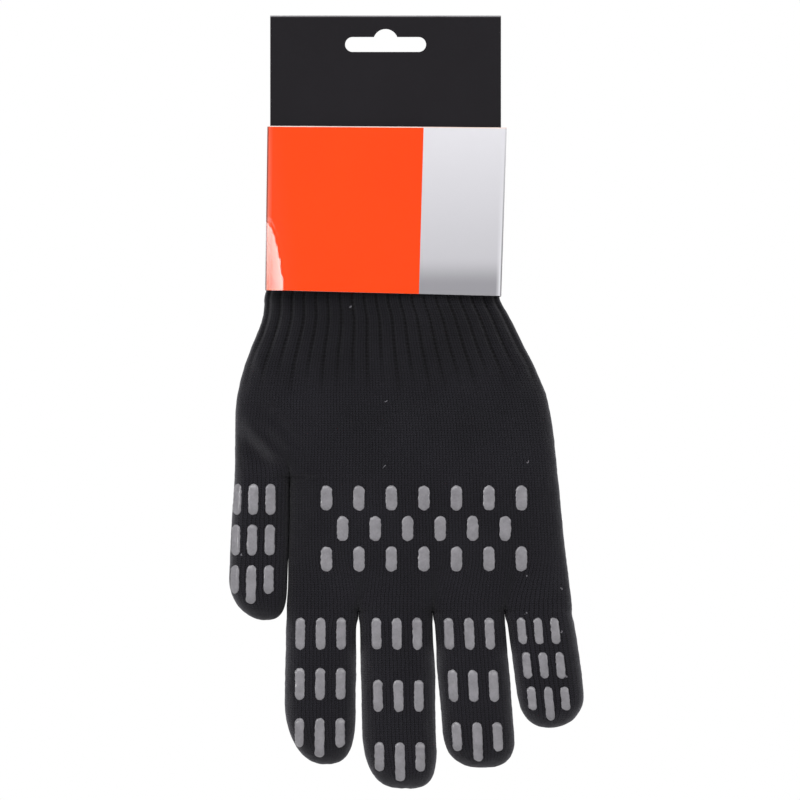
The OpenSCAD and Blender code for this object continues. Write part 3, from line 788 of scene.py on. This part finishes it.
front_only = smoothstep((MID_Y - y) / 5)
folds = (fold(-47, -159, -46, 15, 3.4, 1.9) + fold(-42, -154, -46, 15, 3.4, -1.3)
         + fold(-52, -164, -46, 11, 3.0, -1.1) + fold(-50, -126, -62, 12, 4.0, 0.9)
         + fold(56, -128, 60, 13, 4.0, 0.8) + fold(30, -214, 6, 26, 5.0, -0.5)
         + fold(-6, -146, 12, 30, 8.0, 0.5))
quiet = np.ones(len(skin))
for name, place in CROTCH_X.items():
    top, run = (Z_THUMB, 50) if name == "thumb" else (Z_ROOT, 8)
    beyond = np.maximum(z - top, 0) + np.maximum(top - run - z, 0)
    quiet *= smoothstep((np.hypot(x - place, beyond) - 4) / 8)
relief += folds * front_only * quiet
print("folds from", round(folds.min(), 2), "to", round(folds.max(), 2), "mm")


# %% Unevenness
def waves(scale, shift):
    """Smooth noise over the skin"""
    return np.array([noise.noise(Vector(spot)) for spot in (skin * scale + shift).tolist()])


broad = waves((0.055, 0.055, 0.04), (0, 0, 0))
fine = waves(0.16, (9, 0, 0))
loops = waves(0.55, (0, 5, 0))
in_band = np.where(z > Z_BAND - 3, 0.15, 1.0)
relief += (0.45 * broad + 0.13 * fine + 0.15 * loops) * in_band * quiet
skin = skin + normals * relief[:, None]
plain, normals = normals, skin_normals(skin)
normals = np.where((plain * normals).sum(1, keepdims=True) < 0.5, plain, normals)
print("relief from", round(relief.min(), 2), "to", round(relief.max(), 2), "mm")

# %% [markdown]
# ## Pieces from the skin
# Each digit has to bend at its root while the hand stays, so the skin is cut into six pieces along the root
# rows. Every piece is a closed layer: the outer face, an inner face one knit thickness below it, and a rim
# between them. The outer faces keep the normals of the whole skin, so no line shows where two pieces meet.
# The lining is made from the same rows, set further in and with every second row and column.

# %% Stitches and faces of a layer
ROW_H = 0.95  # height of a row of stitches
FIRST = {"hand": 0, "knuckles": COLUMNS["thumb"]}
for number, name in enumerate(DIGITS):
    FIRST[name] = sum(COLUMNS[other] for other in DIGITS[:number])


def stitch_counts(name, side, rows, columns):
    """Stitches round the tube and rows along it, for each point of a grid"""
    column = FIRST[name] + columns.astype(float)
    u = column * STITCH if side == 0 else (2 * TOTAL - column) * STITCH
    if name in DIGITS:
        steps = digit_steps(name)
        path = np.concatenate([[0], np.cumsum(np.hypot(np.diff(steps), np.diff(
            [grids[name][0][i, 0, 0] for i in range(len(steps))])))])
        v = (digit_top[name] - Z_ROOT - path[rows]) / -ROW_H
    else:
        v = -(grids[name][0][rows, 0, 2] - Z_ROOT) / ROW_H
    return np.stack(np.broadcast_arrays(u[None, :], v[:, None]), axis=-1)


def layer_faces(parts, step):
    """Faces of some grids, as numbers of skin points, with the stitch counts at their corners"""
    faces, uvs = [], []
    for part in parts:
        for side in (0, 1):
            grid = ids[part, side]
            rows = np.unique(np.append(np.arange(0, grid.shape[0], step), grid.shape[0] - 1))
            columns = np.arange(0, grid.shape[1], step)
            count = stitch_counts(part, side, rows, columns)
            flip = facing_out(part, side)
            picked = grid[np.ix_(rows, columns)]
            faces.append(grid_faces(picked, flip))
            number = np.arange(picked.size).reshape(picked.shape)
            uvs.append(count.reshape(-1, 2)[grid_faces(number, flip)])
    return np.concatenate(faces), np.concatenate(uvs)


print("index finger:", len(layer_faces(["index"], 1)[0]), "faces on the outside")


# %% Layers
def cloth_piece(name, place, polygons, loop_uv, material):
    """Smooth piece of mesh with a map of its stitches"""
    mesh = bpy.data.meshes.new(name)
    mesh.from_pydata((place * MM).tolist(), [], polygons)
    layer = mesh.uv_layers.new(name="stitches")
    layer.data.foreach_set("uv", np.array(loop_uv, np.float32).ravel())
    mesh.polygons.foreach_set("use_smooth", np.ones(len(mesh.polygons), bool))
    mesh.materials.append(material)
    piece = bpy.data.objects.new(name, mesh)
    scene.collection.objects.link(piece)
    return piece


def knit_layer(name, parts, inset, thick, step, material):
    """Closed layer of cloth below the skin"""
    faces, uvs = layer_faces(parts, step)
    used, local = np.unique(faces, return_inverse=True)
    local = local.reshape(faces.shape)
    outer = skin[used] - normals[used] * inset
    inner = skin[used] - normals[used] * (inset + thick)
    polygons, loop_uv, loop_normal, rim = [], [], [], {}
    for corners, corner_uv in zip(local.tolist(), uvs.tolist()):
        keep = [i for i in range(4) if corners[i] != corners[i - 1]]
        if len(keep) < 3:
            continue
        ring = [corners[i] for i in keep]
        polygons.append(ring)
        loop_uv += [corner_uv[i] for i in keep]
        loop_normal += [normals[used[c]] for c in ring]
        polygons.append([c + len(used) for c in reversed(ring)])
        loop_uv += [corner_uv[i] for i in reversed(keep)]
        loop_normal += [-normals[used[c]] for c in reversed(ring)]
        for i, c in enumerate(ring):
            d = ring[(i + 1) % len(ring)]
            if (d, c) in rim:
                del rim[d, c]
            else:
                rim[c, d] = (corner_uv[keep[i]], corner_uv[keep[(i + 1) % len(ring)]])
    for (c, d), (uv_c, uv_d) in rim.items():
        polygons.append([d, c, c + len(used), d + len(used)])
        loop_uv += [uv_d, uv_c, uv_c, uv_d]
        edge = np.cross(outer[c] - outer[d], inner[c] - outer[c])
        loop_normal += [edge / max(np.linalg.norm(edge), 1e-9)] * 4
    piece = cloth_piece(name, np.concatenate([outer, inner]), polygons, loop_uv, material)
    # the "free" mark tells the yarn material where its painted sheen may show; it is low round the crotches
    for title, values in (("ribbed", fade), ("free", quiet)):
        mark = piece.data.attributes.new(title, "FLOAT", "POINT")
        mark.data.foreach_set("value", np.tile(values[used], 2).astype(np.float32))
    piece.data.normals_split_custom_set([tuple(n) for n in loop_normal])
    return piece


print("layers can be cut from", len(order), "grids")

# %% Hand and digits
KNIT_T, LINING_T = 1.3, 0.9  # thickness of the layers
HAND_INSET, DIGIT_INSET = 2.4, 1.7  # depth of the lining below the outer face


def bends(piece):
    """Bake the place of the piece into its points"""
    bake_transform(piece)


hand_knit = knit_layer("hand_knit", ["hand", "knuckles"], 0, KNIT_T, 1, knit_black)
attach(hand_knit, "hand")
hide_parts("cuff_rib", "palm_heel_shell", "knuckle_shell")
hand_lining = knit_layer("hand_lining", ["hand", "knuckles"], HAND_INSET, LINING_T, 2, lining_grey)
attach(hand_lining, "hand")
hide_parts("cuff_lining", "palm_heel_lining", "knuckle_lining")
digit_knit = {}
for name in DIGITS:
    digit_knit[name] = knit_layer(name + "_knit", [name], 0, KNIT_T, 1, knit_black)
    bends(digit_knit[name])
    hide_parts(name + "_stall")
    lining = knit_layer(name + "_cotton", [name], DIGIT_INSET, LINING_T, 2, lining_grey)
    bends(lining)
    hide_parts(name + "_lining")
digit_faces = sum(len(piece.data.polygons) for piece in digit_knit.values())
print("hand:", len(hand_knit.data.polygons), "faces; digits:", digit_faces)

# %% [markdown]
# ## Hem and elastic
# The mouth of the cuff is overlocked: thread wraps over the edge of both layers in slanted stitches. Three
# elastic threads lie round the wrist between the layers. Both follow the oval of the cuff, so one helper
# sweeps a small section round it. The hem's section swells and sinks along the run, which gives the
# stitches without a piece for each of them.

# %% Sweeps round the cuff
CUFF_HALF = 46.5  # half the width of the cuff


def cuff_path(inset, steps):
    """Points and outward directions round the cuff, set in from its outer face"""
    half_x, half_h = half_oval(steps // 2, CUFF_HALF - inset, CUFF_T / 2 - inset, CUFF_N)
    px = np.concatenate([half_x, half_x[::-1][1:-1]])
    py = np.concatenate([-half_h, half_h[::-1][1:-1]])
    ahead = np.roll(np.stack([px, py], 1), -1, 0) - np.roll(np.stack([px, py], 1), 1, 0)
    ahead /= np.linalg.norm(ahead, axis=1, keepdims=True)
    return px, py + MID_Y, np.stack([ahead[:, 1], -ahead[:, 0]], 1)


def swept_ring(name, inset, level, half_w, half_h, steps, sides, ridge, pitch, material):
    """Closed thread round the cuff with a rounded section and slanted ridges"""
    px, py, away = cuff_path(inset, steps)
    steps = len(px)
    turn = np.linspace(0, 2 * np.pi, sides, endpoint=False)
    run = np.arange(steps)[:, None] / pitch + turn[None, :] / (2 * np.pi)
    swell = 1 + ridge * np.cos(2 * np.pi * run)
    wide = half_w * np.sign(np.cos(turn)) * np.abs(np.cos(turn)) ** 0.7 * swell
    tall = half_h * np.sign(np.sin(turn)) * np.abs(np.sin(turn)) ** 0.7 * swell
    cloud = np.stack([px[:, None] + away[:, :1] * wide, py[:, None] + away[:, 1:] * wide, level + tall], -1)
    number = np.pad(np.arange(steps * sides).reshape(steps, sides), (0, 1), mode="wrap")
    u, v = np.meshgrid(np.arange(sides + 1) * 4 / sides, np.arange(steps + 1) / pitch * 2)
    counts = np.stack([u, v], -1).reshape(-1, 2)[grid_faces(np.arange(u.size).reshape(u.shape), False)]
    piece = cloth_piece(name, cloud.reshape(-1, 3), grid_faces(number, False).tolist(), counts, material)
    work = bmesh.new()
    work.from_mesh(piece.data)
    bmesh.ops.recalc_face_normals(work, faces=work.faces)
    work.to_mesh(piece.data)
    work.free()
    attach(piece, "hand")
    return piece


print("way round the cuff:", len(cuff_path(0, 540)[0]), "steps")

# %% Hem
hem_low, hem_high = measured("cuff_hem")
hem_z = (hem_low[2] + hem_high[2]) / 2 - 0.1
hem = swept_ring("overlocked_hem", 2.6, hem_z, half_w=2.3, half_h=1.5, steps=540, sides=16,
                 ridge=0.09, pitch=6, material=thread_black)
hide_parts("cuff_hem")
print("hem at z =", round(hem_z, 1), "mm")

# %% Elastic threads
elastic_levels = [Z_TOP + (Z_BAND - Z_TOP) * (i + 0.5) / 3 for i in range(3)]
threads = [swept_ring(f"elastic_thread_{i + 1}", 1.9, level, half_w=0.32, half_h=0.32, steps=240, sides=8,
                      ridge=0.06, pitch=4, material=thread_black)
           for i, level in enumerate(elastic_levels)]
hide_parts("cuff_elastic")
print("elastic threads:", len(threads))

# %% [markdown]
# ## Grip bars
# The bars are silicone that was printed on the finished glove, so they lie on the knit and follow it. One
# bar is modelled: a disc is pulled into a long pill, raised, and drawn in three times so that its
# shoulder is round. Copies of it take the place, the slant and the size of the CAD bars. Only the straight
# part is made longer or shorter, so the ends stay round. Each point then walks sideways along the skin, and
# a bar keeps its width where the finger curves away. A little noise keeps the outline from being
# machine-straight.

# %% The master bar
BAR = (4.0, 12.8, 0.9)  # width, length and height in millimetres
UPRIGHT = 0.62  # share of the height that rises straight
SHOULDER = ((0.05, 0.22), (0.07, 0.12), (0.12, 0.04))  # its steps in and up, as shares of width and height


def picked_vertices(piece, test):
    """Select the vertices that pass a test, in edit mode"""
    bpy.ops.mesh.select_all(action="DESELECT")
    work = bmesh.from_edit_mesh(piece.data)
    for v in work.verts:
        v.select = test(v.co)
    work.select_flush_mode()
    bmesh.update_edit_mesh(piece.data)


def master_bar(width, length, height):
    """Pill that lies in X and Y and rises along Z"""
    bpy.ops.object.select_all(action="DESELECT")
    bpy.ops.mesh.primitive_circle_add(vertices=32, radius=width / 2, fill_type="NGON")
    bar = bpy.context.object
    bpy.ops.object.mode_set(mode="EDIT")
    for sign in (1, -1):
        picked_vertices(bar, lambda co: co.y * sign > width * 0.02)
        bpy.ops.transform.translate(value=(0, sign * (length - width) / 2, 0))
    picked_vertices(bar, lambda co: abs(co.y) < length / 2 - width / 2 + width * 0.1)
    bpy.ops.mesh.subdivide(number_cuts=9)
    bpy.ops.mesh.select_all(action="SELECT")
    bpy.ops.mesh.extrude_region_move(TRANSFORM_OT_translate={"value": (0, 0, height * UPRIGHT)})
    for inwards, upwards in SHOULDER:
        bpy.ops.mesh.inset(thickness=width * inwards, depth=height * upwards)
    bpy.ops.mesh.quads_convert_to_tris(ngon_method="BEAUTY")
    bpy.ops.object.mode_set(mode="OBJECT")
    return bar


bar_model = master_bar(*(value * MM for value in BAR))
print("master bar:", len(bar_model.data.vertices), "points")


# %% CAD bars
def islands(name):
    """Middle, size and points of each separate solid of a CAD node, in millimetres"""
    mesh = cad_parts[name].data
    work = bmesh.new()
    work.from_mesh(mesh)
    bmesh.ops.remove_doubles(work, verts=work.verts, dist=1e-6)
    found, seen = [], set()
    for v in work.verts:
        if v.index in seen:
            continue
        group, queue = [], [v]
        seen.add(v.index)
        while queue:
            w = queue.pop()
            group.append(w.co / MM)
            for e in w.link_edges:
                o = e.other_vert(w)
                if o.index not in seen:
                    seen.add(o.index)
                    queue.append(o)
        spots = np.array(group)
        found.append(((spots.min(0) + spots.max(0)) / 2, spots.max(0) - spots.min(0), spots))
    work.free()
    return found


def bar_run(solid):
    """Sideways middle of a CAD bar, and its sideways run for each millimetre of its length"""
    middle, size, spots = solid
    upper = spots[spots[:, 2] > middle[2] + 0.3 * size[2]]
    lower = spots[spots[:, 2] < middle[2] - 0.3 * size[2]]
    centre = (upper[:, 0].mean() + lower[:, 0].mean()) / 2
    return centre, (upper[:, 0].mean() - lower[:, 0].mean()) / (upper[:, 2].mean() - lower[:, 2].mean())


def width_of(solid):
    """Width of a CAD bar across its own direction"""
    middle, _, spots = solid
    return np.ptp(spots[:, 0] - bar_run(solid)[1] * (spots[:, 2] - middle[2]))


print("bars on the index finger:", len(islands("index_grip_bars")))


# %% Ways along the skin
def skin_tree(piece):
    """Search tree over the faces of a piece"""
    corners = [v.co.copy() for v in piece.data.vertices]
    return BVHTree.FromPolygons(corners, [list(face.vertices) for face in piece.data.polygons])


skin_points = KDTree(len(skin))
for number, spot in enumerate(skin * MM):
    skin_points.insert(spot, number)
skin_points.balance()


def smooth_normal(spot):
    """Mean direction of the skin around a spot"""
    near = skin_points.find_n(spot, 9)
    return Vector(np.sum([normals[number] for _, number, _ in near], axis=0)).normalized()


def walk_round(tree, spot, distance):
    """Go a distance sideways along the skin, so that what is laid there keeps its width where it curves"""
    steps = max(int(abs(distance) / 0.4), 1)
    for _ in range(steps):
        along = Vector((0, 0, 1)).cross(smooth_normal(spot)).normalized()
        spot = tree.find_nearest(spot + along * (distance / steps * MM))[0]
    return spot


print("ways lead over", len(skin), "points")

# %% Bars on the skin
UNEVEN_EDGE = 0.24  # how far the outline of a bar wanders
SUNK = 0.15  # how deep a bar sits in the cloth
END_RAMP = 2.2  # length over which a bar gets lower towards its end


def laid_bar(name, tree, solid, width, seed):
    """Copy of the master bar in the place of a CAD bar, on the skin"""
    middle, size, _ = solid
    centre, slant = bar_run(solid)
    straight, new_straight = (BAR[1] - BAR[0]) / 2, (size[2] - width) / 2
    bar = bar_model.copy()
    bar.data = bar_model.data.copy()
    bar.name = bar.data.name = name
    scene.collection.objects.link(bar)
    for v in bar.data.vertices:
        px, py, rise = v.co.x / MM / BAR[0] * width, v.co.y / MM, v.co.z / MM
        pz = py / straight * new_straight
        if abs(py) > straight:
            pz = math.copysign(new_straight + (abs(py) - straight) * width / BAR[0], py)
        rough = noise.noise(Vector((px * 0.9 + seed * 3.1, pz * 0.9, seed * 1.7)))
        px += UNEVEN_EDGE * rough * (1 if px > 0 else -1)
        pz += UNEVEN_EDGE * noise.noise(Vector((seed * 2.3, px * 0.9, pz * 0.5)))
        rise *= 1 - 0.6 * max((abs(pz) - size[2] / 2 + END_RAMP) / END_RAMP, 0) ** 2
        wx, wz = centre + slant * pz, middle[2] + pz
        hit, _, _, _ = tree.ray_cast(Vector((wx, middle[1] - 30, wz)) * MM, Vector((0, 1, 0)))
        if hit is None:
            hit, _, _, _ = tree.find_nearest(Vector((wx, middle[1], wz)) * MM)
        hit = walk_round(tree, hit, px)
        v.co = hit + smooth_normal(hit) * (rise - SUNK) * MM
    return bar


print("a bar sits", SUNK, "mm deep in the cloth")


# %% Sets of bars
def bar_set(name, tree, node_name):
    """All bars of one digit or of the palm, joined into one piece"""
    solids = islands(node_name)
    width = sorted(width_of(solid) for solid in solids)[len(solids) // 2]
    seed = len(name) * 7
    bars = [laid_bar(f"{name}_{i}", tree, solid, width, i + seed) for i, solid in enumerate(solids)]
    bpy.ops.object.select_all(action="DESELECT")
    for bar in bars:
        bar.select_set(True)
    bpy.context.view_layer.objects.active = bars[0]
    bpy.ops.object.join()
    piece = bpy.context.object
    piece.name = piece.data.name = name
    bpy.ops.object.shade_smooth_by_angle(angle=math.radians(50))
    piece.data.materials.append(silicone)
    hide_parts(node_name)
    return piece


for name in DIGITS:
    piece = bar_set(name + "_bars", skin_tree(digit_knit[name]), name + "_grip_bars")
    bends(piece)
palm_bars = bar_set("palm_bars", skin_tree(hand_knit), "palm_grip_bars")
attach(palm_bars, "hand")
bpy.data.objects.remove(bar_model)
print("bars on the palm:", len(palm_bars.data.polygons), "faces")

# %% [markdown]
# ## The board band
# The band is a strip of coated board, creased four times and glued at the back. It starts as a box without
# top and bottom. The upright edges are bevelled into creases, and the walls are divided finely so that the
# front can bow over the cuff. Its lower left corner was pushed in: there the board slopes evenly towards
# the crease, like a facet, and mirrors the side lamp. The strip also sits a little askew. Two attributes
# note how far each point lies round a crease and whether it lies on the cut edge, and Solidify gives the
# board its thickness towards the inside.

# %% Band
BEND_R = 1.2  # radius of the creases
bpy.ops.object.select_all(action="DESELECT")
size = band_high - band_low
middle = (band_high + band_low) / 2
bpy.ops.mesh.primitive_cube_add(size=1, location=(0, 0, 0))
band = bpy.context.object
band.name = band.data.name = "board_band"
bpy.ops.object.mode_set(mode="EDIT")
bpy.ops.mesh.select_all(action="SELECT")
bpy.ops.transform.resize(value=tuple(size * MM))
bpy.ops.transform.translate(value=tuple(middle * MM))
bpy.ops.mesh.select_all(action="DESELECT")
work = bmesh.from_edit_mesh(band.data)
for face in work.faces:
    face.select = abs(face.normal.z) > 0.9
bmesh.update_edit_mesh(band.data)
bpy.ops.mesh.delete(type="FACE")
work = bmesh.from_edit_mesh(band.data)
for edge in work.edges:
    edge.select = abs(edge.verts[0].co.z - edge.verts[1].co.z) > 0.01
bmesh.update_edit_mesh(band.data)
bpy.ops.mesh.bevel(offset=BEND_R * MM, segments=5, affect="EDGES")
bpy.ops.object.mode_set(mode="OBJECT")
print("band shell:", len(band.data.polygons), "faces")

# %% Fine walls
WALL_CUTS = 79
bpy.ops.object.mode_set(mode="EDIT")
bpy.ops.mesh.select_mode(type="EDGE")
work = bmesh.from_edit_mesh(band.data)
bpy.ops.mesh.select_all(action="DESELECT")
for edge in work.edges:
    a, b = (v.co for v in edge.verts)
    edge.select = abs(a.x - b.x) > 0.05 or abs(a.z - b.z) > 0.05
bmesh.update_edit_mesh(band.data)
bpy.ops.mesh.subdivide(number_cuts=WALL_CUTS)
bpy.ops.object.mode_set(mode="OBJECT")
print("divided band:", len(band.data.polygons), "faces")

# %% Bow, pushed-in corner and painted light on the creases
half_w, half_h = size[0] / 2, size[2] / 2
BOW = 0.9  # how far the middle of the front stands out
DENT_TOP = -0.13  # upper end of the pushed-in corner, from -1 below to 1 above
DENT_W, DENT_SLOPE = 9.0, 0.42  # its width at the bottom and its slope


def pushed_out(px, pz):
    """How far the front stands out at a place from -1 to 1 across and up"""
    bow = max(1 - px * px, 0) * (BOW * (0.8 + 0.2 * pz) + 0.12 * noise.noise(Vector((px * 2, pz * 2, 3))))
    edge = (1 + px) * half_w
    low = max((DENT_TOP - pz) / (1 + DENT_TOP), 0)
    dent = DENT_W * low ** 0.44
    level_off = math.exp(-max(edge - dent, 0) / (1.5 + 28 * low)) * float(smoothstep((90 - edge) / 60))
    return bow + DENT_SLOPE * min(edge, dent) * level_off


def round_crease(x, y):
    """How strongly a place takes the painted highlight and shade of a crease, by its angle round the bend
    """
    dx, dy = abs(x) - (half_w - BEND_R), abs(y - middle[1]) - (size[1] / 2 - BEND_R)
    if min(dx, dy) <= -0.001:
        return 0.0
    angle = math.degrees(math.atan2(dx, dy))
    return float(np.interp(angle, [-1, 0, 18, 36, 72, 90], [0, 0.2, 0.5, 1, 1, 0.2]))


def askew(right, upper):
    """Shift of a place sideways and up, from its shares of the way to the right and to the top"""
    aside = right * (-1.3 + 2.2 * upper) + (1 - right) * (-0.6 + 0.9 * upper)
    rise = (1 - upper) * (1.3 - 2.3 * right) - upper * 0.7 * right
    return aside * MM, rise * MM


print("front stands out by", round(pushed_out(0, 0), 2), "mm in the middle")

# %% Shape of the band
crease_of, cut_of = [], []
for v in band.data.vertices:
    px, pz = v.co.x / MM / half_w, (v.co.z / MM - middle[2]) / half_h
    crease_of.append(round_crease(v.co.x / MM, v.co.y / MM))
    cut_of.append(1.0 if pz > 0.999 else 0.0)
    if v.co.y / MM < middle[1] - size[1] * 0.3:
        v.co.y -= pushed_out(px, pz) * MM
    aside, rise = askew((1 + px) / 2, (1 + pz) / 2)
    v.co.x += aside
    v.co.z += rise
for title, values in (("crease", crease_of), ("cut", cut_of)):
    band.data.attributes.new(title, "FLOAT", "POINT").data.foreach_set("value", values)
print("points on creases:", sum(value > 0 for value in crease_of))

# %% Thickness of the band
BOARD_T = 0.45
band.data.materials.append(board_gloss)
band.data.materials.append(board_raw)
board = band.modifiers.new("board", "SOLIDIFY")
board.thickness = BOARD_T * MM
board.offset = -1
board.material_offset = 1
board.material_offset_rim = 1
bpy.context.view_layer.objects.active = band
band.select_set(True)
bpy.ops.object.modifier_apply(modifier=board.name)
bpy.ops.object.shade_smooth_by_angle(angle=math.radians(40))
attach(band, "sleeve")
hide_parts("belly_band")
print("band:", len(band.data.polygons), "faces", [round(v / MM, 1) for v in band.dimensions])
